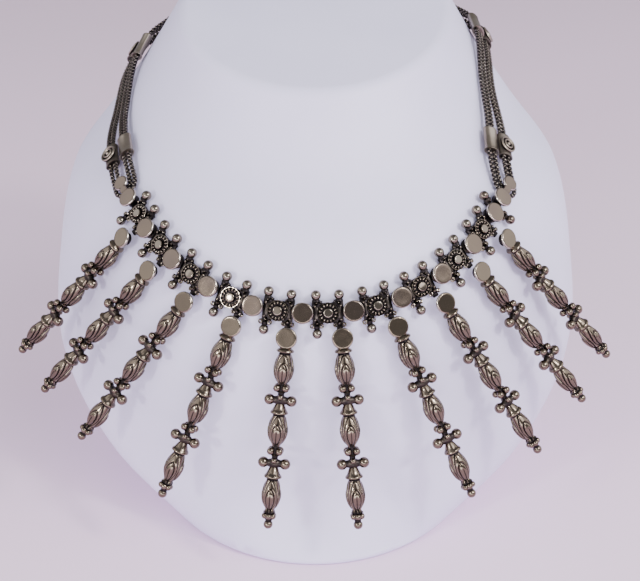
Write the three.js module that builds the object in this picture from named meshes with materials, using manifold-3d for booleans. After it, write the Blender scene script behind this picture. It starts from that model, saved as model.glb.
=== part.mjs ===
// A silver bib necklace with ten long drops, lying on a plain neck bust.
// Millimetres, +Z up, the front of the bust towards -Y. The origin is the middle of the flat base.

import * as THREE from "three";
import { mergeVertices } from "three/addons/utils/BufferGeometryUtils.js";
import Module from "manifold-3d";

const wasm = await Module();
wasm.setup();

// Neck bust
const bustHeight = 225;
const chestHalfWidth = 107.5;
const bustDepth = 180;
const neckTop = 180;
const neckTopAt = 38.2;
const neckTilt = 13.5;
const bustFrontSides = 18;
const bustBackSides = 8;
const bustLevels = [0, 0.07, 0.16, 0.28, 0.41, 0.53, 0.64, 0.76, 0.88, 1];

// Horizontal sections of the bust. Rise is a share of bustHeight, half is a share of
// chestHalfWidth, and front, centre and back are shares of bustDepth behind the origin.
const bustSections = [
  { rise: 0, half: 0.54, front: -0.479, centre: -0.118, back: 0.437 },
  { rise: 0.089, half: 0.828, front: -0.44, centre: 0.015, back: 0.479 },
  { rise: 0.222, half: 0.995, front: -0.424, centre: 0.135, back: 0.507 },
  { rise: 0.378, half: 1, front: -0.396, centre: 0.243, back: 0.518 },
  { rise: 0.511, half: 0.94, front: -0.321, centre: 0.321, back: 0.523 },
  { rise: 0.622, half: 0.763, front: -0.182, centre: 0.362, back: 0.523 },
  { rise: 0.733, half: 0.605, front: -0.104, centre: 0.351, back: 0.523 },
  { rise: 0.853, half: 0.465, front: -0.054, centre: 0.315, back: 0.523 },
  { rise: 1, half: 0.353, front: -0.018, centre: 0.271, back: 0.523 },
];

// Strip of links across the chest
const stripLow = 98.2;
const stripClimb = 25.6;
const stripHalfSpan = 72;
const stripPower = 2.4;
const linkPitch = 8.97;
const flowerCount = 10;
const rest = 0.45;

// Plates, bars and balls of the links
const plateThickness = 1.4;
const plateHalfHeight = 3.4;
const barOffset = 4.2;
const barHalfWidth = 1.5;
const barTop = 5.6;
const barFoot = 5;
const ballRadius = 1.9;
const topBallReach = 6.6;
const footBallReach = 7.5;
const tabReach = 6.2;
const tabHalfWidth = 1.1;
const ballSides = 10;
const smallBallSides = 8;
const ballLatitudes = [-90, -25, 25, 90];

// Discs and flowers
const discRadius = 4;
const discThickness = 1.4;
const discFace = 4.9;
const discPostRadius = 2.6;
const discSides = 12;
const petalCount = 10;
const petalRadius = 4;
const petalValley = 0.85;
const petalTop = 3.3;
const dotRadius = 1.7;
const dotTop = 3.95;

// End links
const lobeDistance = 8.8;
const lobeRadius = 3.2;
const lobePostRadius = 0.9;
const bridgeHalfWidth = 1.7;
const bridgeThickness = 1;

// Drops
const dropLength = 71;
const headReach = 9.1;
const dropAxisHeight = 4.2;
const headFaceAboveAxis = 1.8;
const headPostRadius = 2.7;
const headPostDepth = 1.8;
const podRadius = 3.85;
const collarRadius = 3.1;
const ringRadius = 2.6;
const waistRadius = 1.85;
const sideBallRadius = 2.1;
const sideBallReach = 3.6;
const tipBallRadius = 1.75;
const dropSides = 10;

// Profile of a drop below the middle of its head. Along is a share of dropLength, and
// radius is a share of the size that its column names.
const dropProfile = [
  { along: 0.03, of: collarRadius, radius: 0.65 },
  { along: 0.065, of: collarRadius, radius: 1 },
  { along: 0.14, of: podRadius, radius: 1 },
  { along: 0.25, of: ringRadius, radius: 0.95 },
  { along: 0.3, of: waistRadius, radius: 1 },
  { along: 0.39, of: collarRadius, radius: 1 },
  { along: 0.475, of: podRadius, radius: 1 },
  { along: 0.582, of: ringRadius, radius: 0.95 },
  { along: 0.632, of: waistRadius, radius: 1 },
  { along: 0.73, of: collarRadius, radius: 1.01 },
  { along: 0.815, of: podRadius, radius: 1 },
  { along: 0.907, of: waistRadius, radius: 1.25 },
  { along: 0.931, of: ringRadius, radius: 1.12 },
  { along: 0.953, of: tipBallRadius, radius: 0.8 },
  { along: 0.976, of: tipBallRadius, radius: 1 },
];
const sideBallsAlong = [0.312, 0.644];

// How each drop lies: swing turns it towards +X and lift raises its tip, in degrees.
const dropLay = [
  { swing: -9, lift: -3.5 },
  { swing: -10.5, lift: -2.5 },
  { swing: -11.5, lift: -0.5 },
  { swing: -6, lift: 0.5 },
  { swing: -1, lift: 2 },
  { swing: 0.5, lift: 2 },
  { swing: 7.5, lift: 2 },
  { swing: 6, lift: 0.5 },
  { swing: 7, lift: -1.5 },
  { swing: 7.5, lift: -3.5 },
];

// Chains and sleeves
const strandDiameter = 2.1;
const strandSides = 8;
const strandRest = 1.75;
const innerStrand = 2.45;
const outerStrand = 4.85;
const spreadInner = 1.6;
const spreadOuter = 4.65;
const sleeveLength = 10.5;
const sleeveWall = 0.5;
const sleeveRest = 1.3;
const boreClearance = 0.4;
const boreMargin = 1;
const sleeveRimLength = 1.2;
const sleeveRimFlare = 0.2;
const sleeveCornerCut = 0.7;
const rosetteRadius = 3.7;
const rosetteRimRadius = 2.7;
const rosetteGrooveRadius = 1.5;
const rosetteDotRadius = 0.8;
const rosetteThickness = 1.2;
const lowerSleeveAt = 19;
const upperSleeveAt = 83;
const claspLength = 14;
const claspThickness = 3.3;
const claspMargin = 1.2;
const bendRound = { inner: 4, outer: 5 };
const seatGap = 0.3;

// Middle of the four strands on each side, as chosen places on the bust: degrees round it
// from the front, and height.
const leftChainRoute = [
  { round: -57, height: 130.5 },
  { round: -61, height: 133 },
  { round: -68, height: 137.5 },
  { round: -74.5, height: 142 },
  { round: -79.5, height: 145.7 },
  { round: -86, height: 150.5 },
  { round: -95, height: 157 },
  { round: -112, height: 163 },
  { round: -133, height: 167.5 },
  { round: -155, height: 170 },
  { round: -180, height: 171 },
];
const rightChainRoute = [
  { round: 52, height: 132 },
  { round: 54.5, height: 136 },
  { round: 58.5, height: 142 },
  { round: 63, height: 147.8 },
  { round: 70, height: 154.5 },
  { round: 79, height: 160.5 },
  { round: 91, height: 165 },
  { round: 110, height: 168 },
  { round: 133, height: 170 },
  { round: 155, height: 171 },
  { round: 180, height: 171 },
];

// Fineness of the worked-out curves
const weldDistance = 1e-4;
const cleanDistance = 0.03;
const surfaceStep = 1e-3;
const stripStep = 0.25;
const neckPasses = 12;
const headSteps = 8;
const routeDivisions = 400;

// Colours and finishes
const silver = new THREE.MeshStandardMaterial({ color: 0x8f8a82, roughness: 0.35, metalness: 1 });
const darkSilver = new THREE.MeshStandardMaterial({ color: 0x5c5955, roughness: 0.45, metalness: 1 });
const white = new THREE.MeshStandardMaterial({ color: 0xd2d0da, roughness: 0.7, metalness: 0 });

// Geometry helpers
function toGeometry(solid) {
  const mesh = solid.simplify(cleanDistance).getMesh();
  const geometry = new THREE.BufferGeometry();
  geometry.setAttribute("position", new THREE.BufferAttribute(new Float32Array(mesh.vertProperties), 3));
  geometry.setIndex(new THREE.BufferAttribute(new Uint32Array(mesh.triVerts), 1));
  geometry.computeVertexNormals();
  return geometry;
}

function toSolid(geometry) {
  const bare = geometry.clone();
  bare.deleteAttribute("normal");
  bare.deleteAttribute("uv");
  const merged = mergeVertices(bare, weldDistance);
  const mesh = new wasm.Mesh({
    numProp: 3,
    vertProperties: new Float32Array(merged.attributes.position.array),
    triVerts: new Uint32Array(merged.index.array),
  });
  return new wasm.Manifold(mesh);
}

function join(geometries) {
  const solids = geometries.map(toSolid);
  return toGeometry(solids.reduce((sum, solid) => sum.add(solid)));
}

// A closed solid through rings of points, each ring anticlockwise seen from the last one's side.
function loft(rings) {
  const count = rings[0].length;
  const points = rings.flat();
  const index = [];
  for (let level = 0; level < rings.length - 1; level += 1) {
    for (let i = 0; i < count; i += 1) {
      const here = level * count + i;
      const next = level * count + ((i + 1) % count);
      index.push(here, next, next + count, here, next + count, here + count);
    }
  }
  const middle = (ring) => ring.reduce((sum, p) => sum.add(p), new THREE.Vector3()).divideScalar(count);
  const first = points.push(middle(rings[0])) - 1;
  const last = points.push(middle(rings[rings.length - 1])) - 1;
  const lastStart = (rings.length - 1) * count;
  for (let i = 0; i < count; i += 1) {
    const next = (i + 1) % count;
    index.push(first, next, i, last, lastStart + i, lastStart + next);
  }
  const geometry = new THREE.BufferGeometry().setFromPoints(points);
  geometry.setIndex(index);
  geometry.computeVertexNormals();
  return geometry;
}

function ring(radius, height, sides, turn = 0) {
  const points = [];
  for (let i = 0; i < sides; i += 1) {
    const angle = turn + (2 * Math.PI * i) / sides;
    points.push(new THREE.Vector3(radius * Math.cos(angle), radius * Math.sin(angle), height));
  }
  return points;
}

// A turned solid along +Z through [radius, height] pairs, with flat ends.
function turned(profile, sides) {
  return loft(profile.map(([radius, height]) => ring(radius, height, sides)));
}

function ball(radius, x, y, z, sides = ballSides) {
  const profile = ballLatitudes.map((latitude) => {
    const angle = THREE.MathUtils.degToRad(latitude);
    return new THREE.Vector2(radius * Math.cos(angle), radius * Math.sin(angle));
  });
  return new THREE.LatheGeometry(profile, sides).rotateX(Math.PI / 2).translate(x, y, z);
}

function plate(corners, bottom, thickness) {
  const shape = new THREE.Shape(corners.map(([x, y]) => new THREE.Vector2(x, y)));
  const geometry = new THREE.ExtrudeGeometry(shape, { depth: thickness, bevelEnabled: false });
  return geometry.translate(0, 0, bottom);
}

function disc(radius, face, postRadius, postBottom, sides) {
  return turned([
    [postRadius, postBottom],
    [postRadius, face - discThickness],
    [radius, face - discThickness],
    [radius, face],
  ], sides);
}

// Bust surface
const columnSlopes = {};
for (const column of ["half", "front", "centre", "back"]) {
  columnSlopes[column] = bustSections.map((row, i) => {
    const before = bustSections[Math.max(i - 1, 0)];
    const after = bustSections[Math.min(i + 1, bustSections.length - 1)];
    return (after[column] - before[column]) / (after.rise - before.rise);
  });
}

function sectionShare(column, height) {
  const rise = THREE.MathUtils.clamp(height / bustHeight, 0, 1);
  let i = 0;
  while (i < bustSections.length - 2 && rise > bustSections[i + 1].rise) {
    i += 1;
  }
  const from = bustSections[i];
  const to = bustSections[i + 1];
  const span = to.rise - from.rise;
  const t = (rise - from.rise) / span;
  const slopes = columnSlopes[column];
  return (2 * t ** 3 - 3 * t ** 2 + 1) * from[column]
    + (t ** 3 - 2 * t ** 2 + t) * span * slopes[i]
    + (3 * t ** 2 - 2 * t ** 3) * to[column]
    + (t ** 3 - t ** 2) * span * slopes[i + 1];
}

function bustSection(height) {
  return {
    half: sectionShare("half", height) * chestHalfWidth,
    front: sectionShare("front", height) * bustDepth,
    centre: sectionShare("centre", height) * bustDepth,
    back: sectionShare("back", height) * bustDepth,
  };
}

// A point of the bust, by the angle round it from the front and its height.
function bustPoint(round, height) {
  const { half, front, centre, back } = bustSection(height);
  const forward = Math.cos(round);
  const reach = forward > 0 ? centre - front : back - centre;
  return new THREE.Vector3(half * Math.sin(round), centre - reach * forward, height);
}

function bustNormal(round, height) {
  const step = surfaceStep;
  const along = bustPoint(round + step, height).sub(bustPoint(round - step, height));
  const up = bustPoint(round, height + step).sub(bustPoint(round, height - step));
  return along.cross(up).normalize();
}

function roundAt(point) {
  const { half, front, centre, back } = bustSection(point.z);
  const reach = point.y < centre ? centre - front : back - centre;
  return Math.atan2(point.x / half, (centre - point.y) / reach);
}

function frameAt(origin, along, out) {
  const z = out.clone().normalize();
  const x = along.clone().addScaledVector(z, -along.dot(z)).normalize();
  const y = z.clone().cross(x);
  return new THREE.Matrix4().makeBasis(x, y, z).setPosition(origin);
}

// Neck bust
function neckBust() {
  const slope = Math.tan(THREE.MathUtils.degToRad(neckTilt));
  const rings = bustLevels.map(() => []);
  for (let i = 0; i < bustFrontSides + bustBackSides; i += 1) {
    const behind = i - bustFrontSides;
    const round = behind < 0
      ? Math.PI * (i / bustFrontSides - 0.5)
      : Math.PI * (behind / bustBackSides + 0.5);
    let top = neckTop;
    for (let pass = 0; pass < neckPasses; pass += 1) {
      top = neckTop + (bustPoint(round, top).y - neckTopAt) * slope;
    }
    bustLevels.forEach((level, k) => rings[k].push(bustPoint(round, top * level)));
  }
  return loft(rings);
}

// Strip line across the chest, measured along the bust from its middle
const stripPoints = [stripPoint(0)];
const stripLengths = [0];
while (stripLengths[stripLengths.length - 1] < (flowerCount + 3) * linkPitch) {
  const next = stripPoint(stripPoints.length * stripStep);
  const last = stripPoints[stripPoints.length - 1];
  stripLengths.push(stripLengths[stripLengths.length - 1] + next.distanceTo(last));
  stripPoints.push(next);
}

function stripPoint(x) {
  const height = stripLow + stripClimb * (Math.abs(x) / stripHalfSpan) ** stripPower;
  return bustPoint(Math.asin(x / bustSection(height).half), height);
}

function stripX(distance) {
  const length = Math.abs(distance);
  let i = 0;
  while (i < stripLengths.length - 2 && stripLengths[i + 1] < length) {
    i += 1;
  }
  const share = (length - stripLengths[i]) / (stripLengths[i + 1] - stripLengths[i]);
  return Math.sign(distance) * (i + share) * stripStep;
}

function stripFrame(distance) {
  const x = stripX(distance);
  const here = stripPoint(x);
  const along = stripPoint(x + stripStep).sub(stripPoint(x - stripStep));
  return frameAt(here, along, bustNormal(roundAt(here), here.z));
}

// Links of the strip: x runs along the strip, y towards the neck and z off the chest
function linkBall(x, y) {
  return ball(ballRadius, x, y, rest + ballRadius);
}

// The outline of a bar that a top ball and a foot stand on, anticlockwise from its foot
function barOutline(x, footReach, footHalfWidth) {
  return {
    foot: [
      [x - barHalfWidth, -barFoot],
      [x - footHalfWidth, -footReach],
      [x + footHalfWidth, -footReach],
      [x + barHalfWidth, -barFoot],
    ],
    top: [
      [x + barHalfWidth, barTop - barHalfWidth],
      [x + barHalfWidth / 2, barTop],
      [x - barHalfWidth / 2, barTop],
      [x - barHalfWidth, barTop - barHalfWidth],
    ],
  };
}

function flower() {
  const sides = 2 * petalCount;
  const outline = ring(petalRadius, 0, sides).map(({ x, y }, i) => {
    const share = i % 2 === 0 ? 1 : petalValley;
    return [x * share, y * share];
  });
  const petalBottom = rest + plateThickness / 2;
  const dot = turned([[dotRadius, petalTop - plateThickness / 2], [dotRadius, dotTop]], ballSides);
  return [plate(outline, petalBottom, petalTop - petalBottom), dot];
}

function flowerLink() {
  const left = barOutline(-barOffset, footBallReach, barHalfWidth / 2);
  const right = barOutline(barOffset, tabReach, tabHalfWidth);
  const inside = barOffset - barHalfWidth;
  const body = plate([
    ...left.foot,
    [-inside, -plateHalfHeight],
    [inside, -plateHalfHeight],
    ...right.foot,
    ...right.top.slice(0, 3),
    [inside, plateHalfHeight],
    [-inside, plateHalfHeight],
    ...left.top.slice(1),
  ], rest, plateThickness);
  return join([
    body,
    ...flower(),
    linkBall(-barOffset, topBallReach),
    linkBall(barOffset, topBallReach),
    linkBall(-barOffset, -footBallReach),
  ]);
}

function discLink() {
  return join([disc(discRadius, discFace, discPostRadius, rest, discSides)]);
}

// The last link at one end: side is -1 at the left and 1 at the right.
function endLink(side, hasBalls) {
  const lobe = disc(lobeRadius, discFace, lobePostRadius, rest, discSides)
    .translate(side * lobeDistance, 0, 0);
  const bridge = plate([
    [0, -bridgeHalfWidth],
    [lobeDistance, -bridgeHalfWidth],
    [lobeDistance, bridgeHalfWidth],
    [0, bridgeHalfWidth],
  ].map(([x, y]) => [side * x, side * y]), discFace - discThickness, bridgeThickness);
  const pieces = [disc(discRadius, discFace, discPostRadius, rest, discSides), lobe, bridge];
  if (hasBalls) {
    const x = barOffset - linkPitch;
    const { foot, top } = barOutline(x, footBallReach, barHalfWidth / 2);
    const arm = [[0, -barHalfWidth], [0, barHalfWidth]];
    pieces.push(plate([...foot, ...arm, ...top], rest, plateThickness));
    pieces.push(linkBall(x, topBallReach), linkBall(x, -footBallReach));
  }
  return join(pieces);
}

// Drops: y runs up the drop from its tip to its head, and z off the chest
function drop() {
  const profile = dropProfile.map(({ along, of, radius }) => [of * radius, along * dropLength]);
  profile.push([tipBallRadius / 2, dropLength]);
  const rod = turned(profile, dropSides).rotateX(Math.PI / 2);
  const face = headFaceAboveAxis;
  const pieces = [rod, disc(discRadius, face, headPostRadius, -headPostDepth, discSides)];
  for (const along of sideBallsAlong) {
    for (const side of [-1, 1]) {
      pieces.push(ball(sideBallRadius, side * sideBallReach, -along * dropLength, 0, smallBallSides));
    }
  }
  return join(pieces);
}

function dropFrame(distance, { swing, lift }) {
  let frame = stripFrame(distance);
  for (let i = 0; i < headSteps; i += 1) {
    const place = new THREE.Vector3().setFromMatrixPosition(frame);
    const along = new THREE.Vector3().setFromMatrixColumn(frame, 0);
    const up = new THREE.Vector3().setFromMatrixColumn(frame, 1);
    place.addScaledVector(up, -headReach / headSteps);
    const round = roundAt(place);
    frame = frameAt(bustPoint(round, place.z), along, bustNormal(round, place.z));
  }
  frame.multiply(new THREE.Matrix4().makeTranslation(0, 0, dropAxisHeight + rest - seatGap));
  frame.multiply(new THREE.Matrix4().makeRotationZ(THREE.MathUtils.degToRad(swing)));
  frame.multiply(new THREE.Matrix4().makeRotationX(THREE.MathUtils.degToRad(-lift)));
  return frame;
}

// Chain routes: a frame on the bust by the distance from the end link's post
function chainRoute(side, places) {
  const start = stripFrame(side * ((flowerCount + 0.5) * linkPitch + lobeDistance));
  const points = [new THREE.Vector3().setFromMatrixPosition(start)];
  for (const { round, height } of places) {
    points.push(bustPoint(THREE.MathUtils.degToRad(round), height));
  }
  const curve = new THREE.CatmullRomCurve3(points, false, "centripetal");
  curve.arcLengthDivisions = routeDivisions;
  const length = curve.getLength();
  // A frame on the bust, its middle moved across the route
  const onBust = (distance, across) => {
    const share = THREE.MathUtils.clamp(distance / length, 0, 1);
    const along = curve.getTangentAt(share);
    const here = curve.getPointAt(share);
    const out = bustNormal(roundAt(here), here.z);
    here.addScaledVector(out.cross(along).normalize(), across);
    const round = roundAt(here);
    return frameAt(bustPoint(round, here.z), along, bustNormal(round, here.z));
  };
  // The strands run straight through a sleeve.
  const frame = (distance, across = 0) => {
    for (const middle of [lowerSleeveAt, upperSleeveAt]) {
      const offset = distance - middle;
      if (Math.abs(offset) <= sleeveLength / 2) {
        return onBust(middle, across).multiply(new THREE.Matrix4().makeTranslation(offset, 0, 0));
      }
    }
    return onBust(distance, across);
  };
  return { frame, length };
}

const sleeveLift = sleeveRest + sleeveWall + boreClearance + strandDiameter / 2;

// How far the strands lie from the route's middle and off the bust, at each distance.
function strandStages(route) {
  const half = sleeveLength / 2;
  const inSleeve = { inner: innerStrand, outer: outerStrand, lift: sleeveLift };
  const spread = { inner: spreadInner, outer: spreadOuter, lift: strandRest };
  const betweenSleeves = (lowerSleeveAt + upperSleeveAt) / 2;
  const end = route.length - claspLength / 2 - seatGap;
  return [
    { at: 0, inner: innerStrand, outer: outerStrand, lift: strandRest },
    { at: lowerSleeveAt - half, ...inSleeve },
    { at: lowerSleeveAt + half, ...inSleeve },
    { at: betweenSleeves, ...spread },
    { at: upperSleeveAt - half, ...inSleeve },
    { at: upperSleeveAt + half, ...inSleeve },
    { at: upperSleeveAt + 3 * half, ...spread },
    { at: end, ...spread },
  ];
}

function stageAt(stages, distance) {
  let i = 0;
  while (i < stages.length - 2 && distance > stages[i + 1].at) {
    i += 1;
  }
  const from = stages[i];
  const to = stages[i + 1];
  const t = THREE.MathUtils.smoothstep(distance, from.at, to.at);
  return {
    inner: THREE.MathUtils.lerp(from.inner, to.inner, t),
    outer: THREE.MathUtils.lerp(from.outer, to.outer, t),
    lift: THREE.MathUtils.lerp(from.lift, to.lift, t),
  };
}

// A curve that steps from point to point, so that its steps are short where its points are close.
class ChosenSteps extends THREE.CatmullRomCurve3 {
  getPointAt(share, target) {
    return this.getPoint(share, target);
  }

  getTangentAt(share, target) {
    return this.getTangent(share, target);
  }
}

// Distances at which a strand has a step, from the post to the clasp
function strandSteps(stages) {
  const half = sleeveLength / 2;
  const end = stages[stages.length - 1].at;
  const steps = [0, (lowerSleeveAt - half) / 2, lowerSleeveAt - half, lowerSleeveAt + half];
  const stretches = [
    { from: lowerSleeveAt + half, to: upperSleeveAt - half, count: 5 },
    { from: upperSleeveAt - half, to: upperSleeveAt + half, count: 1 },
    { from: upperSleeveAt + half, to: end, count: 7 },
  ];
  for (const { from, to, count } of stretches) {
    for (let i = 1; i <= count; i += 1) {
      steps.push(from + ((to - from) * i) / count);
    }
  }
  return steps;
}

function chain(route, which) {
  const stages = strandStages(route);
  const leg = (hand) => strandSteps(stages).map((distance) => {
    const stage = stageAt(stages, distance);
    const middle = (stage.inner + stage.outer) / 2;
    const place = new THREE.Vector3(0, hand * (stage[which] - middle), stage.lift);
    return place.applyMatrix4(route.frame(distance, hand * middle));
  });
  const radius = which === "inner" ? innerStrand : outerStrand;
  const bendSteps = bendRound[which];
  const bend = [];
  for (let i = 1; i < bendSteps; i += 1) {
    const angle = (Math.PI * i) / bendSteps;
    const place = new THREE.Vector3(-radius * Math.sin(angle), radius * Math.cos(angle), strandRest);
    bend.push(place.applyMatrix4(route.frame(0)));
  }
  const points = [...leg(1).reverse(), ...bend, ...leg(-1)];
  const path = new ChosenSteps(points, false, "centripetal");
  const outline = ring(strandDiameter / 2, 0, strandSides);
  const section = new THREE.Shape(outline.map(({ x, y }) => new THREE.Vector2(x, y)));
  const geometry = new THREE.ExtrudeGeometry(section, {
    steps: points.length - 1,
    extrudePath: path,
    bevelEnabled: false,
  });
  return join([geometry]);
}

// Sleeves: x runs along the chain away from the strip, z off the bust
function ovalRing(halfWidth, halfHeight, x) {
  const cut = sleeveCornerCut * halfHeight;
  const corners = [
    [halfWidth, halfHeight - cut],
    [halfWidth - cut, halfHeight],
    [cut - halfWidth, halfHeight],
    [-halfWidth, halfHeight - cut],
    [-halfWidth, cut - halfHeight],
    [cut - halfWidth, -halfHeight],
    [halfWidth - cut, -halfHeight],
    [halfWidth, cut - halfHeight],
  ];
  return corners.map(([y, z]) => new THREE.Vector3(x, y, z));
}

function sleeve(hasRosette) {
  const half = sleeveLength / 2;
  const boreHalfWidth = (outerStrand - innerStrand + strandDiameter) / 2 + boreClearance;
  const boreHalfHeight = strandDiameter / 2 + boreClearance;
  const halfWidth = boreHalfWidth + sleeveWall;
  const halfHeight = boreHalfHeight + sleeveWall;
  const flare = hasRosette ? 0 : sleeveRimFlare;
  const outer = loft([
    ovalRing(halfWidth + flare, halfHeight + flare, -half),
    ovalRing(halfWidth, halfHeight, -half + sleeveRimLength),
    ovalRing(halfWidth, halfHeight, half),
  ]);
  const pieces = [outer];
  if (hasRosette) {
    const face = halfHeight + rosetteThickness;
    pieces.push(turned([
      [rosetteRadius, halfHeight - sleeveWall / 2],
      [rosetteRadius, halfHeight + sleeveWall],
      [rosetteRimRadius, face],
      [rosetteGrooveRadius, halfHeight + sleeveWall],
      [rosetteDotRadius, face],
    ], ballSides));
  }
  const bore = loft([
    ovalRing(boreHalfWidth, boreHalfHeight, -half - boreMargin),
    ovalRing(boreHalfWidth, boreHalfHeight, half + boreMargin),
  ]);
  return toGeometry(toSolid(join(pieces)).subtract(toSolid(bore)));
}

function sleeveFrame(route, distance, hand) {
  const middle = (innerStrand + outerStrand) / 2;
  return route.frame(distance, hand * middle).multiply(new THREE.Matrix4().makeTranslation(0, 0, sleeveLift));
}

function clasp() {
  const halfWidth = spreadOuter + strandDiameter / 2 + claspMargin;
  const halfLength = claspLength / 2;
  const corner = claspMargin;
  return join([plate([
    [-halfLength, -halfWidth + corner],
    [-halfLength + corner, -halfWidth],
    [halfLength - corner, -halfWidth],
    [halfLength, -halfWidth + corner],
    [halfLength, halfWidth - corner],
    [halfLength - corner, halfWidth],
    [-halfLength + corner, halfWidth],
    [-halfLength, halfWidth - corner],
  ], rest, claspThickness)]);
}

// Assembly
const necklaceOnBust = new THREE.Group();

function place(name, geometry, material, frame = new THREE.Matrix4()) {
  const mesh = new THREE.Mesh(geometry, material);
  mesh.name = name;
  frame.decompose(mesh.position, mesh.quaternion, mesh.scale);
  necklaceOnBust.add(mesh);
}

const twoDigits = (number) => String(number).padStart(2, "0");
const stationAt = (index) => (index - flowerCount - 0.5) * linkPitch;

place("neck_bust", neckBust(), white);

for (let i = 0; i < flowerCount; i += 1) {
  const flowerStation = 2 * i + 1;
  const number = twoDigits(i + 1);
  place(`flower_link_${number}`, flowerLink(), silver, stripFrame(stationAt(flowerStation)));
  if (i > 0) {
    place(`disc_link_${twoDigits(i)}`, discLink(), silver, stripFrame(stationAt(flowerStation - 1)));
  }
  const dropDistance = stationAt(flowerStation) + barOffset;
  place(`drop_${number}`, drop(), silver, dropFrame(dropDistance, dropLay[i]));
}
place(`disc_link_${twoDigits(flowerCount)}`, discLink(), silver, stripFrame(stationAt(2 * flowerCount)));
place("end_link_left", endLink(-1, false), silver, stripFrame(stationAt(0)));
place("end_link_right", endLink(1, true), silver, stripFrame(stationAt(2 * flowerCount + 1)));

for (const [name, side, places] of [["left", -1, leftChainRoute], ["right", 1, rightChainRoute]]) {
  const route = chainRoute(side, places);
  place(`chain_${name}_inner`, chain(route, "inner"), darkSilver);
  place(`chain_${name}_outer`, chain(route, "outer"), darkSilver);
  const outward = -side;
  for (const [level, distance] of [["lower", lowerSleeveAt], ["upper", upperSleeveAt]]) {
    place(`${level}_plain_sleeve_${name}`, sleeve(false), silver, sleeveFrame(route, distance, -outward));
    place(`${level}_rosette_sleeve_${name}`, sleeve(true), silver, sleeveFrame(route, distance, outward));
  }
}

const claspPlace = bustPoint(Math.PI, leftChainRoute[leftChainRoute.length - 1].height);
const claspOut = bustNormal(Math.PI, claspPlace.z);
place("clasp", clasp(), silver, frameAt(claspPlace, new THREE.Vector3(-1, 0, 0), claspOut));

export default necklaceOnBust;
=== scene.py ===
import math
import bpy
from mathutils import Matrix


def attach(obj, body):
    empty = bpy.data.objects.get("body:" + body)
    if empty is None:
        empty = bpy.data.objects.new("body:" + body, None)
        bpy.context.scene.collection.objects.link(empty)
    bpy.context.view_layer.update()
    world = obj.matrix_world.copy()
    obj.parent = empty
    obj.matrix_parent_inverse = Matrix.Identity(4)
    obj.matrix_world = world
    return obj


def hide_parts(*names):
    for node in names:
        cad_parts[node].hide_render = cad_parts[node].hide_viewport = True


bl_info = {
    "name": "Bib Necklace on Neck Bust",
    "version": (1, 0, 0),
    "blender": (4, 5, 0),
    "location": "View3D > Sidebar > Bib Necklace",
    "description": "Builds a silver bib necklace with carved drops, lying on a plain neck bust",
    "category": "Add Mesh",
}

import bmesh
import bpy
import numpy as np
from bpy.props import FloatProperty, FloatVectorProperty, IntProperty, PointerProperty
from mathutils import Matrix, Vector

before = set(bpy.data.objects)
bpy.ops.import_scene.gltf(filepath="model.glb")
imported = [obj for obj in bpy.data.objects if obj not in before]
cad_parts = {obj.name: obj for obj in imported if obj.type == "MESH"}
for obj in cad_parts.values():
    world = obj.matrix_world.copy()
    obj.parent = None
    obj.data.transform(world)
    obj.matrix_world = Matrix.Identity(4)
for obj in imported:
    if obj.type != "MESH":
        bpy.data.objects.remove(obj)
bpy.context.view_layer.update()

# Shapes are worked out in millimetres and finished in metres.
MM = 0.001

# Horizontal sections of the bust: rise and half width, front, centre and back as shares
BUST_HEIGHT = 225
CHEST_HALF_WIDTH = 107.5
BUST_DEPTH = 180
NECK_TOP = 180
NECK_TOP_AT = 38.2
NECK_TILT = 13.5
BUST_RIM_ROUNDING = 3.2
BUST_SECTIONS = (
    (0, 0.54, -0.479, -0.118, 0.437),
    (0.089, 0.828, -0.44, 0.015, 0.479),
    (0.222, 0.995, -0.424, 0.135, 0.507),
    (0.378, 1, -0.396, 0.243, 0.518),
    (0.511, 0.94, -0.321, 0.321, 0.523),
    (0.622, 0.763, -0.182, 0.362, 0.523),
    (0.733, 0.605, -0.104, 0.351, 0.523),
    (0.853, 0.465, -0.054, 0.315, 0.523),
    (1, 0.353, -0.018, 0.271, 0.523),
)

# Strip of links, drops and chains, as in the part
STRIP_LOW = 98.2
STRIP_CLIMB = 25.6
STRIP_HALF_SPAN = 72
STRIP_POWER = 2.4
STRIP_STEP = 0.25
LINK_PITCH = 8.97
FLOWER_COUNT = 10
REST = 0.45
BAR_OFFSET = 4.2
TOP_BALL_REACH = 6.6
FOOT_BALL_REACH = 7.5
DISC_FACE = 4.9
DISC_POST_RADIUS = 2.45
LOBE_DISTANCE = 8.8
LOBE_RADIUS = 3.15
LOBE_POST_RADIUS = 0.9
HEAD_REACH = 9.1
HEAD_STEPS = 8
DROP_AXIS_HEIGHT = 4.2
SEAT_GAP = 0.3
DROP_LAY = (
    (-9, -3.5), (-10.5, -2.5), (-11.5, -0.5), (-6, 0.5), (-1, 2),
    (0.5, 2), (7.5, 2), (6, 0.5), (7, -1.5), (7.5, -3.5),
)
STRAND_REST = 1.75
INNER_STRAND = 2.45
OUTER_STRAND = 4.85
SPREAD_INNER = 1.6
SPREAD_OUTER = 4.65
SLEEVE_LENGTH = 10.5
SLEEVE_LIFT = 3.25
SLEEVE_HALF_WIDTH = 3.25
SLEEVE_HALF_HEIGHT = 1.97
SLEEVE_WALL = 0.42
LOWER_SLEEVE_AT = 19
UPPER_SLEEVE_AT = 83
CLASP_LENGTH = 14
CLASP_THICKNESS = 3.3
CLASP_HALF_WIDTH = 6.9
LEFT_ROUTE = (
    (-57, 130.5), (-61, 133), (-68, 137.5), (-74.5, 142), (-79.5, 145.7), (-86, 150.5),
    (-95, 157), (-112, 163), (-133, 167.5), (-155, 170), (-180, 171),
)
RIGHT_ROUTE = (
    (52, 132), (54.5, 136), (58.5, 142), (63, 147.8), (70, 154.5), (79, 160.5),
    (91, 165), (110, 168), (133, 170), (155, 171), (180, 171),
)

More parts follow.
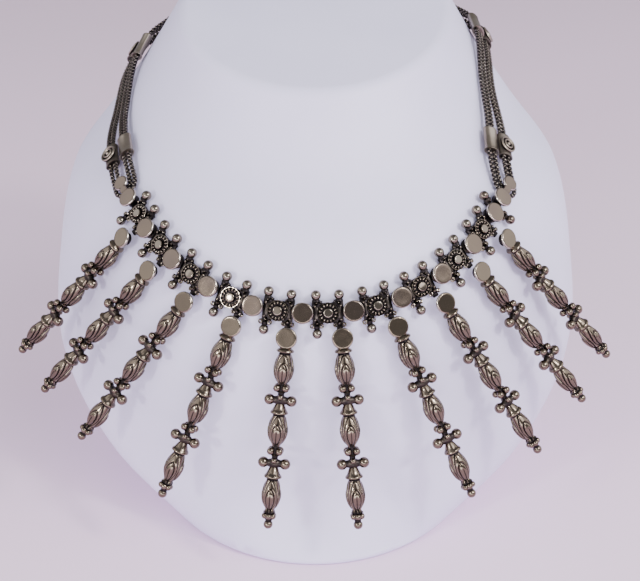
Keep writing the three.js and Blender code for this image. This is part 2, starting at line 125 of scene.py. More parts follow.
# Camera, from the photograph's framing
CAMERA_TARGET = (0, -67.7, 97.7)
CAMERA_DISTANCE = 600
CAMERA_LENS = 92.8
CAMERA_SENSOR = 36
CAMERA_SHIFT = (0.0072, 0.0383)
CAMERA_ELEVATION = 26

# Lights: place, width and height in metres, power in watts and colour
WARM_LIGHT = (1, 0.97, 0.95)
COOL_LIGHT = (0.97, 0.96, 1)
LIGHTS = (
    ("Front_Lamp", (-0.629, -0.793, 0.441), 0.14, 0.14, 4.2, WARM_LIGHT),
    ("Right_Lamp", (0.644, -0.58, 0.777), 0.16, 0.16, 5.2, WARM_LIGHT),
    ("Left_Soft", (-1.1, -0.04, 0.65), 1.2, 1.2, 5.5, COOL_LIGHT),
    ("Right_Soft", (1.1, 0.04, 0.65), 1.4, 1.4, 9.5, COOL_LIGHT),
    ("Left_High", (-0.6, -0.6, 1.1), 1.3, 1.3, 1.8, COOL_LIGHT),
    ("Right_High", (0.75, -0.75, 1.0), 1.0, 1.0, 12, COOL_LIGHT),
    ("Left_Low", (-0.8, -1.02, 0.48), 1.4, 1.4, 4.8, COOL_LIGHT),
    ("Low_Front", (0, -1.15, 0.12), 1.6, 0.22, 6.5, COOL_LIGHT),
)
LIGHT_AIM = (0, -0.06, 0.09)
WORLD_COLOUR = (0.80, 0.79, 0.83)
WORLD_STRENGTH = 0.53

# Finishes: name, recess where the tarnish and painted shade start, polish, strength of the grain and metal
# colour
FINISHES = (
    ("Worn Silver", 0.42, 0.03, 0.1, None),
    ("Disc Silver", 0.62, 0.07, 0.05, (0.138, 0.108, 0.09)),
    ("Drop Silver", 0.45, 0.045, 0.04, (0.148, 0.119, 0.091)),
    ("Woven Silver", 0.4, 0.1, 0.12, (0.275, 0.24, 0.208)),
    ("Sleeve Silver", 0.6, 0.22, 0.2, (0.34, 0.295, 0.245)),
)
SILVER_GRAIN_DEPTH = 0.00005
PATINA = (0.17, 0.135, 0.1)
# Bright rim colour: partly rubbed wear and partly a painted highlight on the discs' rims
RUBBED_RIM_AND_HIGHLIGHT = (0.46, 0.415, 0.36)
BUST_GRAIN = 0.12
BUST_GRAIN_DEPTH = 0.0001


class NecklaceSizes(bpy.types.PropertyGroup):
    disc_radius: FloatProperty(
        name="Disc Radius", description="Radius of the plain discs",
        default=4 * MM, unit="LENGTH")
    ball_radius: FloatProperty(
        name="Ball Radius", description="Radius of the balls along the strip",
        default=1.9 * MM, unit="LENGTH")
    pod_radius: FloatProperty(
        name="Pod Radius", description="Largest radius of the carved pods",
        default=3.85 * MM, unit="LENGTH")
    side_ball_radius: FloatProperty(
        name="Side Ball Radius", description="Radius of the pairs of balls on the drops",
        default=2.1 * MM, unit="LENGTH")
    petal_count: IntProperty(
        name="Petals", description="Petals round each flower's dot", default=15)
    leaf_count: IntProperty(
        name="Leaves", description="Carved leaves round each pod", default=3)
    strand_diameter: FloatProperty(
        name="Strand Diameter", description="Outer diameter of one woven chain",
        default=2.1 * MM, unit="LENGTH")
    weave_pitch: FloatProperty(
        name="Weave Pitch", description="Distance from one row of wires to the next",
        default=1.85 * MM, unit="LENGTH")


class NecklaceColours(bpy.types.PropertyGroup):
    silver: FloatVectorProperty(
        name="Silver", description="Worn metal on the high parts",
        subtype="COLOR", default=(0.2, 0.175, 0.143), min=0, max=1)
    # Dark colour for tarnish in hollows, also painted as shade under balls, between wires and inside tubes
    tarnish_and_shade: FloatVectorProperty(
        name="Tarnish And Shade", description="Dark oxide in the recesses",
        subtype="COLOR", default=(0.024, 0.02, 0.021), min=0, max=1)
    bust: FloatVectorProperty(
        name="Bust", description="Covering of the neck bust",
        subtype="COLOR", default=(0.72, 0.70, 0.92), min=0, max=1)
    backdrop: FloatVectorProperty(
        name="Backdrop", description="Surface that the bust stands on",
        subtype="COLOR", default=(0.92, 0.71, 0.90), min=0, max=1)


# Bust surface
def section_slopes():
    slopes = []
    last = len(BUST_SECTIONS) - 1
    for i in range(last + 1):
        before = BUST_SECTIONS[max(i - 1, 0)]
        after = BUST_SECTIONS[min(i + 1, last)]
        rise = after[0] - before[0]
        slopes.append([(after[k] - before[k]) / rise for k in range(5)])
    return slopes


SECTION_SLOPES = section_slopes()


def bust_section(height):
    """Half width, front, centre and back of the bust at a height."""
    rise = min(max(height / BUST_HEIGHT, 0), 1)
    i = 0
    while i < len(BUST_SECTIONS) - 2 and rise > BUST_SECTIONS[i + 1][0]:
        i += 1
    low, high = BUST_SECTIONS[i], BUST_SECTIONS[i + 1]
    span = high[0] - low[0]
    t = (rise - low[0]) / span
    weights = (
        2 * t ** 3 - 3 * t ** 2 + 1, (t ** 3 - 2 * t ** 2 + t) * span,
        3 * t ** 2 - 2 * t ** 3, (t ** 3 - t ** 2) * span,
    )
    half, front, centre, back = (
        weights[0] * low[k] + weights[1] * SECTION_SLOPES[i][k]
        + weights[2] * high[k] + weights[3] * SECTION_SLOPES[i + 1][k]
        for k in range(1, 5)
    )
    return half * CHEST_HALF_WIDTH, front * BUST_DEPTH, centre * BUST_DEPTH, back * BUST_DEPTH


def bust_point(angle, height):
    half, front, centre, back = bust_section(height)
    forward = math.cos(angle)
    reach = centre - front if forward > 0 else back - centre
    return Vector((half * math.sin(angle), centre - reach * forward, height))


def bust_normal(angle, height):
    step = 1e-3
    along = bust_point(angle + step, height) - bust_point(angle - step, height)
    up = bust_point(angle, height + step) - bust_point(angle, height - step)
    return along.cross(up).normalized()


def angle_at(point):
    half, front, centre, back = bust_section(point.z)
    reach = centre - front if point.y < centre else back - centre
    return math.atan2(point.x / half, (centre - point.y) / reach)


def frame_at(origin, along, out):
    z = out.normalized()
    x = (along - z * along.dot(z)).normalized()
    y = z.cross(x)
    matrix = Matrix((x, y, z)).transposed().to_4x4()
    matrix.translation = origin
    return matrix


# Strip line
def strip_point(x):
    height = STRIP_LOW + STRIP_CLIMB * (abs(x) / STRIP_HALF_SPAN) ** STRIP_POWER
    return bust_point(math.asin(x / bust_section(height)[0]), height)


def strip_lengths():
    lengths = [0]
    last = strip_point(0)
    while lengths[-1] < (FLOWER_COUNT + 3) * LINK_PITCH:
        here = strip_point(len(lengths) * STRIP_STEP)
        lengths.append(lengths[-1] + (here - last).length)
        last = here
    return lengths


STRIP_LENGTHS = strip_lengths()


def strip_frame(distance):
    length = abs(distance)
    i = 0
    while i < len(STRIP_LENGTHS) - 2 and STRIP_LENGTHS[i + 1] < length:
        i += 1
    share = (length - STRIP_LENGTHS[i]) / (STRIP_LENGTHS[i + 1] - STRIP_LENGTHS[i])
    x = math.copysign((i + share) * STRIP_STEP, distance)
    here = strip_point(x)
    along = strip_point(x + STRIP_STEP) - strip_point(x - STRIP_STEP)
    return frame_at(here, along, bust_normal(angle_at(here), here.z))


def station_at(index):
    return (index - FLOWER_COUNT - 0.5) * LINK_PITCH


def drop_frame(distance, swing, lift):
    matrix = strip_frame(distance)
    for _ in range(HEAD_STEPS):
        place = matrix.translation - matrix.col[1].to_3d() * HEAD_REACH / HEAD_STEPS
        angle = angle_at(place)
        along = matrix.col[0].to_3d()
        matrix = frame_at(bust_point(angle, place.z), along, bust_normal(angle, place.z))
    return (
        matrix
        @ Matrix.Translation((0, 0, DROP_AXIS_HEIGHT + REST - SEAT_GAP))
        @ Matrix.Rotation(math.radians(swing), 4, "Z")
        @ Matrix.Rotation(math.radians(-lift), 4, "X")
    )


# Chain routes
class SmoothLine:
    """A centripetal line through points, measured along itself."""

    def __init__(self, points, divisions=400):
        self.points = points
        self.divisions = divisions
        self.lengths = [0]
        last = self.at(0)
        for i in range(1, divisions + 1):
            here = self.at(i / divisions)
            self.lengths.append(self.lengths[-1] + (here - last).length)
            last = here
        self.length = self.lengths[-1]

    def at(self, t):
        points = self.points
        place = min(max(t, 0), 1) * (len(points) - 1)
        i = min(int(place), len(points) - 2)
        w = place - i
        p1, p2 = points[i], points[i + 1]
        p0 = points[i - 1] if i > 0 else p1 * 2 - p2
        p3 = points[i + 2] if i + 2 < len(points) else p2 * 2 - p1
        d0, d1, d2 = (
            max((b - a).length, 1e-6) ** 0.5 for a, b in ((p0, p1), (p1, p2), (p2, p3)))
        m1 = ((p1 - p0) / d0 - (p2 - p0) / (d0 + d1) + (p2 - p1) / d1) * d1
        m2 = ((p2 - p1) / d1 - (p3 - p1) / (d1 + d2) + (p3 - p2) / d2) * d1
        c2 = p2 * 3 - p1 * 3 - m1 * 2 - m2
        c3 = p1 * 2 - p2 * 2 + m1 + m2
        return p1 + m1 * w + c2 * w ** 2 + c3 * w ** 3

    def share(self, distance):
        distance = min(max(distance, 0), self.length)
        i = 0
        while i < self.divisions - 1 and self.lengths[i + 1] < distance:
            i += 1
        part = (distance - self.lengths[i]) / (self.lengths[i + 1] - self.lengths[i])
        return (i + part) / self.divisions


class ChainRoute:
    """Frames on the bust along one side's chains, by the distance from the end link's post."""

    def __init__(self, side, places):
        start = strip_frame(side * ((FLOWER_COUNT + 0.5) * LINK_PITCH + LOBE_DISTANCE))
        points = [start.translation.copy()]
        points += [bust_point(math.radians(angle), height) for angle, height in places]
        self.line = SmoothLine(points)
        self.length = self.line.length

    def on_bust(self, distance, across):
        t = self.line.share(distance)
        along = (self.line.at(t + 1e-4) - self.line.at(t - 1e-4)).normalized()
        here = self.line.at(t)
        out = bust_normal(angle_at(here), here.z)
        here = here + out.cross(along).normalized() * across
        angle = angle_at(here)
        return frame_at(bust_point(angle, here.z), along, bust_normal(angle, here.z))

    def frame(self, distance, across=0):
        for middle in (LOWER_SLEEVE_AT, UPPER_SLEEVE_AT):
            offset = distance - middle
            if abs(offset) <= SLEEVE_LENGTH / 2:
                return self.on_bust(middle, across) @ Matrix.Translation((offset, 0, 0))
        return self.on_bust(distance, across)

    def stages(self):
        half = SLEEVE_LENGTH / 2
        held = (INNER_STRAND, OUTER_STRAND, SLEEVE_LIFT)
        spread = (SPREAD_INNER, SPREAD_OUTER, STRAND_REST)
        end = self.length - CLASP_LENGTH / 2 - SEAT_GAP
        return (
            (0, INNER_STRAND, OUTER_STRAND, STRAND_REST),
            (LOWER_SLEEVE_AT - half, *held),
            (LOWER_SLEEVE_AT + half, *held),
            ((LOWER_SLEEVE_AT + UPPER_SLEEVE_AT) / 2, *spread),
            (UPPER_SLEEVE_AT - half, *held),
            (UPPER_SLEEVE_AT + half, *held),
            (UPPER_SLEEVE_AT + 3 * half, *spread),
            (end, *spread),
        )

    def strand(self, distance, hand, outer):
        """A point of a strand's middle line."""
        stages = self.stages()
        i = 0
        while i < len(stages) - 2 and distance > stages[i + 1][0]:
            i += 1
        low, high = stages[i], stages[i + 1]
        t = min(max((distance - low[0]) / (high[0] - low[0]), 0), 1)
        t = t * t * (3 - 2 * t)
        near, far, lift = (low[k] + (high[k] - low[k]) * t for k in range(1, 4))
        middle = (near + far) / 2
        offset = (far if outer else near) - middle
        return self.frame(distance, hand * middle) @ Vector((0, hand * offset, lift))

    def strand_line(self, outer):
        """The whole strand: up one leg, round the post and up the other."""
        step = 1.5
        end = self.stages()[-1][0]
        count = int(end / step)
        distances = [end * i / count for i in range(count + 1)]
        legs = [[self.strand(d, hand, outer) for d in distances] for hand in (1, -1)]
        radius = OUTER_STRAND if outer else INNER_STRAND
        turns = 10
        start = self.frame(0)
        bend = [
            start @ Vector((-radius * math.sin(a), radius * math.cos(a), STRAND_REST))
            for a in (math.pi * i / turns for i in range(1, turns))
        ]
        points = np.array([tuple(p) for p in legs[0][::-1] + bend + legs[1]])
        for _ in range(2):
            points[1:-1] = 0.25 * points[:-2] + 0.5 * points[1:-1] + 0.25 * points[2:]
        normals = []
        for point in points:
            place = Vector(point)
            normals.append(tuple(bust_normal(angle_at(place), place.z)))
        return points, np.array(normals)


# Mesh helpers. A vertex has a recess: below 0 on a rim painted bright, partly rubbed wear and partly a
# painted highlight, 0 on a high part, 1 where it is painted dark, tarnish in a hollow and painted shade
# under and between parts.
def new_mesh():
    bm = bmesh.new()
    bm.verts.layers.float.new("recess")
    return bm


def shade(bm, verts, recess):
    layer = bm.verts.layers.float["recess"]
    for vert in verts:
        vert[layer] = recess(vert.co) if callable(recess) else recess


def smoothstep(low, high, value):
    t = min(max((value - low) / (high - low), 0), 1)
    return t * t * (3 - 2 * t)


def turn_shape(bm, profile, sides, matrix=Matrix(), recess=0.0, relief=None):
    """Spins a profile of (radius, height) pairs round Z. Relief moves a point by its angle and
    height: it returns how far out it goes and how deep in a recess it is."""
    layer = bm.verts.layers.float["recess"]
    start = [bm.verts.new((radius, 0, height)) for radius, height in profile]
    edges = [bm.edges.new(pair) for pair in zip(start, start[1:])]
    made = set(start)
    known = set(bm.verts)
    bmesh.ops.spin(
        bm, geom=start + edges, cent=(0, 0, 0), axis=(0, 0, 1),
        angle=2 * math.pi, steps=sides, use_merge=True, use_duplicate=False)
    made |= set(bm.verts) - known
    verts = [v for v in made if v.is_valid]
    for vert in verts:
        vert[layer] = recess(vert.co) if callable(recess) else recess
        radius = math.hypot(vert.co.x, vert.co.y)
        if relief and radius > 1e-4:
            out, depth = relief(math.atan2(vert.co.y, vert.co.x), vert.co.z, radius)
            vert.co.x += out * vert.co.x / radius
            vert.co.y += out * vert.co.y / radius
            vert[layer] = max(vert[layer], depth)
    poles = [v for v in verts if math.hypot(v.co.x, v.co.y) < 1e-3]
    bmesh.ops.remove_doubles(bm, verts=poles, dist=1e-4)
    verts = [v for v in verts if v.is_valid]
    bmesh.ops.transform(bm, matrix=matrix, verts=verts)


def add_ball(bm, radius, place, around, up, base):
    """A ball. Base is the direction of what it sits on; the ball's side towards it is painted dark, tarnish
    at its foot and painted shade beneath it.
    """
    made = bmesh.ops.create_uvsphere(
        bm, u_segments=around, v_segments=up, radius=radius, matrix=Matrix.Translation(place))
    towards = Vector(base).normalized()
    centre = Vector(place)
    shade(bm, made["verts"], lambda co: smoothstep(0.25, 0.95, (co - centre).dot(towards) / radius))


def round_edges(bm, verts, width):
    edges = list({e for v in verts for e in v.link_edges})
    bmesh.ops.bevel(
        bm, geom=verts + edges, offset=width, offset_type="OFFSET", segments=2, profile=0.5,
        affect="EDGES", material=-1)


def add_box(bm, size, place, bevel, recess, turn=0.0):
    matrix = Matrix.Translation(place) @ Matrix.Rotation(turn, 4, "Z") @ Matrix.Diagonal((*size, 1))
    made = bmesh.ops.create_cube(bm, size=1, matrix=matrix)
    verts = made["verts"]
    shade(bm, verts, recess)
    round_edges(bm, verts, bevel)


def add_pyramid(bm, radius, height, place, turn):
    matrix = Matrix.Translation(place) @ Matrix.Rotation(turn, 4, "Z")
    made = bmesh.ops.create_cone(
        bm, cap_ends=True, segments=4, radius1=radius, radius2=radius * 0.14,
        depth=height, matrix=matrix @ Matrix.Translation((0, 0, height / 2)))
    verts = made["verts"]
    low = place[2]
    # Painted darker towards its foot: tarnish and painted shade where it meets the link
    shade(bm, verts, lambda co: 1 - smoothstep(0, height, co.z - low) * 0.95)
    round_edges(bm, verts, 0.1)


def new_object(name, mesh):
    obj = bpy.data.objects.new(name, mesh)
    bpy.context.scene.collection.objects.link(obj)
    return obj


def finish_piece(name, mesh, matrix, material, slot, *nodes):
    """Puts a copy of a template mesh in its place, in metres, riding the root."""
    copy = mesh.copy()
    copy.name = name
    copy.transform(Matrix.Diagonal((MM, MM, MM, 1)) @ matrix)
    copy.materials.clear()
    copy.materials.append(material)
    obj = new_object(name, copy)
    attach(obj, "root")
    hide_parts(*nodes)


def mesh_from(bm, name):
    mesh = bpy.data.meshes.new(name)
    bm.to_mesh(mesh)
    bm.free()
    return mesh


def template(bm, name, sharp=35):
    """A smooth-shaded mesh with its sharp edges kept, from a bmesh in millimetres."""
    bmesh.ops.recalc_face_normals(bm, faces=bm.faces)
    for face in bm.faces:
        face.smooth = True
    for edge in bm.edges:
        if len(edge.link_faces) == 2 and edge.calc_face_angle(0) > math.radians(sharp):
            edge.smooth = False
    return mesh_from(bm, name)


# Shader groups
def new_group(name, inputs, outputs):
    group = bpy.data.node_groups.new(name, "ShaderNodeTree")
    for label, kind, default in inputs:
        socket = group.interface.new_socket(label, in_out="INPUT", socket_type=kind)
        socket.default_value = default
    for label, kind in outputs:
        group.interface.new_socket(label, in_out="OUTPUT", socket_type=kind)
    return group


def mix_colours(nodes, links, factor, first, second):
    node = nodes.new("ShaderNodeMix")
    node.data_type = "RGBA"
    for socket, value in ((node.inputs[0], factor), (node.inputs[6], first), (node.inputs[7], second)):
        if isinstance(value, bpy.types.NodeSocket):
            links.new(value, socket)
        elif isinstance(value, (int, float)):
            socket.default_value = value
        else:
            socket.default_value = (*value[:3], 1)
    return node.outputs[2]


def calculate(nodes, links, operation, *values):
    node = nodes.new("ShaderNodeMath")
    node.operation = operation
    for socket, value in zip(node.inputs, values):
        if isinstance(value, bpy.types.NodeSocket):
            links.new(value, socket)
        else:
            socket.default_value = value
    return node.outputs[0]


def fit_range(nodes, links, value, low, high, to_low, to_high):
    node = nodes.new("ShaderNodeMapRange")
    links.new(value, node.inputs["Value"])
    for label, number in (("From Min", low), ("From Max", high), ("To Min", to_low), ("To Max", to_high)):
        node.inputs[label].default_value = number
    return node.outputs["Result"]


def add_noise(nodes, links, coordinates, scale, detail):
    node = nodes.new("ShaderNodeTexNoise")
    links.new(coordinates, node.inputs["Vector"])
    node.inputs["Scale"].default_value = scale
    node.inputs["Detail"].default_value = detail
    node.inputs["Roughness"].default_value = 0.55
    return node.outputs["Fac"]


def tarnish_and_shade_group():
    """Colour, roughness and height of worn silver that is dark in its recesses, tarnish in its hollows and
    painted shade under and between parts.
    """
    group = new_group(
        "Tarnished Metal And Painted Shade",
        (("Metal", "NodeSocketColor", (0.6, 0.55, 0.47, 1)),
         ("Tarnish And Shade", "NodeSocketColor", (0.03, 0.03, 0.03, 1)),
         ("Spread", "NodeSocketFloat", 0.5),
         ("Polish", "NodeSocketFloat", 0.2)),
        (("Colour", "NodeSocketColor"), ("Roughness", "NodeSocketFloat"), ("Height", "NodeSocketFloat")))
    nodes, links = group.nodes, group.links
    given = nodes.new("NodeGroupInput").outputs
    result = nodes.new("NodeGroupOutput").inputs
    place = nodes.new("ShaderNodeTexCoord").outputs["Object"]
    recess = nodes.new("ShaderNodeAttribute")
    recess.attribute_name = "recess"
    cloud = add_noise(nodes, links, place, 420, 4)
    patina = add_noise(nodes, links, place, 95, 3)
    grain = add_noise(nodes, links, place, 2600, 2)
    stretched = nodes.new("ShaderNodeMapping")
    stretched.inputs["Scale"].default_value = (900, 5200, 900)
    stretched.inputs["Rotation"].default_value = (0.3, 0.2, 0.6)
    links.new(place, stretched.inputs["Vector"])
    scratches = add_noise(nodes, links, stretched.outputs["Vector"], 1.0, 2)
    edge = calculate(nodes, links, "MULTIPLY_ADD", cloud, 0.5, -0.25)
    depth = calculate(nodes, links, "ADD", recess.outputs["Fac"], edge)
    spread = calculate(nodes, links, "SUBTRACT", depth, given["Spread"])
    # The mask paints the dark colour as tarnish in hollows and as painted shade under and between parts
    mask = fit_range(nodes, links, spread, -0.3, 0.25, 0, 1)
    # Rims painted bright: partly rubbed wear, partly a painted highlight
    rubbed_and_highlight = fit_range(nodes, links, depth, -0.15, -0.5, 0, 1)
    warm = mix_colours(nodes, links, fit_range(nodes, links, patina, 0.35, 0.7, 0, 0.7),
                       given["Metal"], PATINA)
    bright = mix_colours(nodes, links, rubbed_and_highlight, warm, RUBBED_RIM_AND_HIGHLIGHT)
    colour = mix_colours(nodes, links, mask, bright, given["Tarnish And Shade"])
    links.new(colour, result["Colour"])
    rough = calculate(nodes, links, "MULTIPLY_ADD", scratches, 0.1, given["Polish"])
    rough = calculate(nodes, links, "MULTIPLY_ADD", cloud, 0.06, rough)
    rough = calculate(nodes, links, "MULTIPLY_ADD", mask, 0.3, rough)
    links.new(rough, result["Roughness"])
    height = calculate(nodes, links, "MULTIPLY_ADD", grain, 0.3, scratches)
    links.new(height, result["Height"])


def new_material(name):
    """A material with its nodes, its links and its shader."""
    material = bpy.data.materials.new(name)
    material.use_nodes = True
    nodes, links = material.node_tree.nodes, material.node_tree.links
    return material, nodes, links, nodes["Principled BSDF"]


def add_bump(nodes, links, height, strength, distance):
    node = nodes.new("ShaderNodeBump")
    node.inputs["Strength"].default_value = strength
    node.inputs["Distance"].default_value = distance
    links.new(height, node.inputs["Height"])
    links.new(node.outputs["Normal"], nodes["Principled BSDF"].inputs["Normal"])


def silver_material(name, colours, spread, polish, bump, metal):
    _, nodes, links, shader = new_material(name)
    shader.inputs["Metallic"].default_value = 1
    worn = nodes.new("ShaderNodeGroup")
    worn.node_tree = bpy.data.node_groups["Tarnished Metal And Painted Shade"]
    worn.inputs["Metal"].default_value = (*(metal or colours.silver), 1)
    worn.inputs["Tarnish And Shade"].default_value = (*colours.tarnish_and_shade, 1)
    worn.inputs["Spread"].default_value = spread
    worn.inputs["Polish"].default_value = polish
    links.new(worn.outputs["Colour"], shader.inputs["Base Color"])
    links.new(worn.outputs["Roughness"], shader.inputs["Roughness"])
    add_bump(nodes, links, worn.outputs["Height"], bump, SILVER_GRAIN_DEPTH)


def bust_material(colours):
    """Smooth white covering with a fine skin grain and faint unevenness."""
    material, nodes, links, shader = new_material("White Bust Cover")
    place = nodes.new("ShaderNodeTexCoord").outputs["Object"]
    broad = add_noise(nodes, links, place, 14, 3)
    fine = add_noise(nodes, links, place, 900, 3)
    base = tuple(colours.bust)
    shadowed = (base[0] * 0.93, base[1] * 0.925, base[2] * 0.94)
    colour = mix_colours(nodes, links, fit_range(nodes, links, broad, 0.35, 0.65, 0, 1), base, shadowed)
    links.new(colour, shader.inputs["Base Color"])
    rough = fit_range(nodes, links, broad, 0.3, 0.7, 0.46, 0.56)
    links.new(rough, shader.inputs["Roughness"])
    add_bump(nodes, links, fine, BUST_GRAIN, BUST_GRAIN_DEPTH)
    return material


def backdrop_material(colours):
    material, nodes, links, shader = new_material("Paper Backdrop")
    shader.inputs["Roughness"].default_value = 0.9
    place = nodes.new("ShaderNodeTexCoord").outputs["Object"]
    mottle = add_noise(nodes, links, place, 3, 3)
    base = tuple(colours.backdrop)
    darker = tuple(0.95 * value for value in base)
    links.new(mix_colours(nodes, links, mottle, base, darker), shader.inputs["Base Color"])
    return material


# Parts of a link
def disc_profile(radius, face, foot_radius, foot):
    return (
        (0, face - 0.03), (radius * 0.55, face - 0.02), (radius * 0.8, face), (radius * 0.86, face - 0.01),
        (radius * 0.905, face - 0.07), (radius * 0.945, face - 0.2), (radius * 0.975, face - 0.38),
        (radius * 0.993, face - 0.6), (radius, face - 0.82), (radius * 0.985, face - 1.02),
        (radius * 0.93, face - 1.2), (radius * 0.86, face - 1.32), (foot_radius + 0.25, face - 1.45),
        (foot_radius, face - 1.75), (foot_radius, foot + 0.2), (foot_radius + 0.1, foot), (0, foot),
    )


def add_disc(bm, radius, face, foot_radius, foot, matrix=Matrix()):
    # Below its rim the disc is painted dark, tarnish and painted shade under it; the rounded rim is painted
    # bright, partly rubbed wear and partly a painted highlight
    turn_shape(
        bm, disc_profile(radius, face, foot_radius, foot), 48, matrix,
        lambda co: (
            smoothstep(0.85, 1.4, face - co.z)
            - 0.6 * smoothstep(0.04, 0.2, face - co.z) * smoothstep(1.0, 0.8, face - co.z)))


def ring_profile(reach, height, half_width, half_height, count):
    """A closed oval, to be turned into a ring."""
    return [
        (reach + half_width * math.cos(a), height + half_height * math.sin(a))
        for a in (2 * math.pi * i / count for i in range(count + 1))
    ]


def add_flower(bm, petals):
    """A daisy: a flat dot in a dark ring of short raised petals, inside a scalloped rim; the body under the
    dot and the petals' lower halves are painted dark, tarnish and painted shade between them.
    """
    turn_shape(bm, (
        (0, 3.9), (1.3, 3.93), (1.5, 3.9), (1.66, 3.76), (1.72, 3.5), (1.75, 2.5),
        (2.0, 2.3), (3.2, 2.3), (3.4, 2.45), (3.5, 2.3), (3.3, 1.7), (3.1, 1.3),
        (3.1, REST + 0.4), (0, REST + 0.4)),
        48, recess=lambda co: smoothstep(3.6, 3.2, co.z))
    ring = ring_profile(3.74, 2.62, 0.27, 0.4, 10)

    def scallops(angle, height, radius):
        notch = 0.5 - 0.5 * math.cos(petals * angle)
        return -0.16 * notch * smoothstep(3.6, 3.9, radius), 0.35 * notch

    turn_shape(bm, ring, petals * 6, Matrix(), lambda co: 1 - smoothstep(2.35, 2.7, co.z), scallops)
    for i in range(petals):
        turn = Matrix.Rotation(2 * math.pi * i / petals, 4, "Z")
        shape = Matrix.Diagonal((0.68, 0.45, 0.72, 1))
        matrix = turn @ Matrix.Translation((2.86, 0, 2.62)) @ shape
        made = bmesh.ops.create_uvsphere(bm, u_segments=12, v_segments=8, radius=1, matrix=matrix)
        shade(bm, made["verts"], lambda co: 1 - smoothstep(2.75, 3.1, co.z))


def add_bar(bm, x, ball_radius, has_foot):
    """The post between two links: a ball on a neck, diamond bosses and its foot."""
    # Low parts of the post are painted dark: tarnish and painted shade under its raised parts
    add_box(bm, (3.0, 9.8, 1.3), (x, -0.2, REST + 0.66), 0.3, 0.95)
    add_box(bm, (1.1, 4.4, 1.0), (x, 0, REST + 1.6), 0.3, lambda co: 1 - 0.45 * smoothstep(2.3, 2.6, co.z))
    inward = -1 if x < 0 else 1
    for y in (1, -1):
        add_pyramid(bm, 1.35, 1.75, (x - 0.15 * inward, y * 3.75, REST + 1.0), 0)
        add_pyramid(bm, 0.95, 1.25, (x - inward * 1.55, y * 3.95, REST + 1.0), 0.3 * y)
        add_ball(bm, 0.5, (x + 0.55 * inward, y * 2.5, REST + 1.95), 10, 7, (0, 0, -1))
    neck = Matrix.Translation((x, 4.3, REST + 1.4)) @ Matrix.Rotation(math.radians(-84), 4, "X")
    turn_shape(bm, ((0, 0), (1.5, 0), (1.4, 0.6), (1.0, 1.05), (1.15, 1.5), (0, 1.7)), 14, neck, 0.8)
    add_ball(bm, ball_radius, (x, TOP_BALL_REACH, REST + ball_radius), 22, 13, (0, -1, -0.35))
    if has_foot:
        foot = Matrix.Translation((x, -4.9, REST + 1.3)) @ Matrix.Rotation(math.radians(86), 4, "X")
        turn_shape(bm, ((0, 0), (1.3, 0), (1.15, 0.6), (0.95, 1.2), (1.3, 1.6), (0, 1.8)), 14, foot, 0.8)
        for side in (-1, 1):
            add_wire_loop(bm, (x + side * 1.7, -4.7, REST + 1.35), 0.62, 0.36, side)
        add_ball(bm, ball_radius * 0.98, (x, -FOOT_BALL_REACH, REST + ball_radius), 22, 13, (0, 1, -0.35))
    else:
        add_box(bm, (2.3, 2.2, 1.1), (x, -5.2, REST + 0.6), 0.25, 0.9)
        for side in (-1, 1):
            add_wire_loop(bm, (x + side * 1.65, -4.5, REST + 1.2), 0.58, 0.34, side)


def add_wire_loop(bm, place, reach, wire, side):
    """A small ring of wire at a corner of the link, painted dark on its underside: tarnish and painted shade
    beneath it.
    """
    ring = ring_profile(reach, 0, wire, wire, 8)
    matrix = Matrix.Translation(place) @ Matrix.Rotation(side * 0.35, 4, "Y")
    turn_shape(bm, ring, 16, matrix, lambda co: 1 - smoothstep(-0.1, 0.15, co.z))


def flower_link_mesh(sizes):
    bm = new_mesh()
    ball = sizes.ball_radius / MM
    # The plate under the flower is painted fully dark, tarnish and painted shade under the flower
    add_box(bm, (8.0, 7.4, 1.2), (0, 0, REST + 0.62), 0.3, 1.0)
    for side in (-1, 1):
        for y in (-1, 1):
            add_box(bm, (2.2, 1.0, 0.9), (side * 2.6, y * 3.15, REST + 1.1), 0.2, 0.7, side * y * 0.5)
    add_flower(bm, sizes.petal_count)
    add_bar(bm, -BAR_OFFSET, ball, True)
    add_bar(bm, BAR_OFFSET, ball, False)
    return template(bm, "Flower Link")


def disc_link_mesh(sizes):
    bm = new_mesh()
    add_disc(bm, sizes.disc_radius / MM, DISC_FACE, DISC_POST_RADIUS, REST)
    # A ring at the disc's foot, painted dark: tarnish and painted shade under the disc
    turn_shape(bm, ((2.4, REST), (2.95, REST), (2.95, REST + 0.8), (2.4, REST + 1.1)), 32, recess=0.8)
    return template(bm, "Disc Link")


def end_link_mesh(sizes, side):
    bm = new_mesh()
    add_disc(bm, sizes.disc_radius / MM, DISC_FACE, DISC_POST_RADIUS, REST)
    place = Matrix.Translation((side * LOBE_DISTANCE, 0, 0))
    add_disc(bm, LOBE_RADIUS, DISC_FACE, LOBE_POST_RADIUS, REST, place)
    add_box(
        bm, (4.4, 3.0, 1.0), (side * 5.5, 0, DISC_FACE - 0.53), 0.3,
        lambda co: smoothstep(0.4, 0.9, DISC_FACE - co.z))
    if side > 0:
        x = BAR_OFFSET - LINK_PITCH
        add_box(bm, (3.0, 2.2, 1.1), (x / 2 - 0.6, 0, REST + 0.6), 0.25, 0.9)
        add_bar(bm, x, sizes.ball_radius / MM, True)
    return template(bm, "End Link")


# Parts of a drop: its axis runs down -Y, and profiles give the distance from the head's middle
DOWN_DROP = Matrix.Rotation(math.radians(90), 4, "X")
HEAD_FACE = 1.8
HEAD_POST_RADIUS = 2.3
STEM_STARTS = (16.6, 39.4)
# Between two pods: places of the ring of four beads, the side balls and the small beads
DROP_JOINTS = ((18.3, 22.9, 21.7), (41.7, 46.3, 45.2))
BELL_CAPS = ((23.1, 4.75), (46.9, 4.8))
BELL_RADIUS = 3.22
LAST_BEADS_AT = 66
TIP_BALL_AT = 69.28
TIP_BALL_RADIUS = 1.72
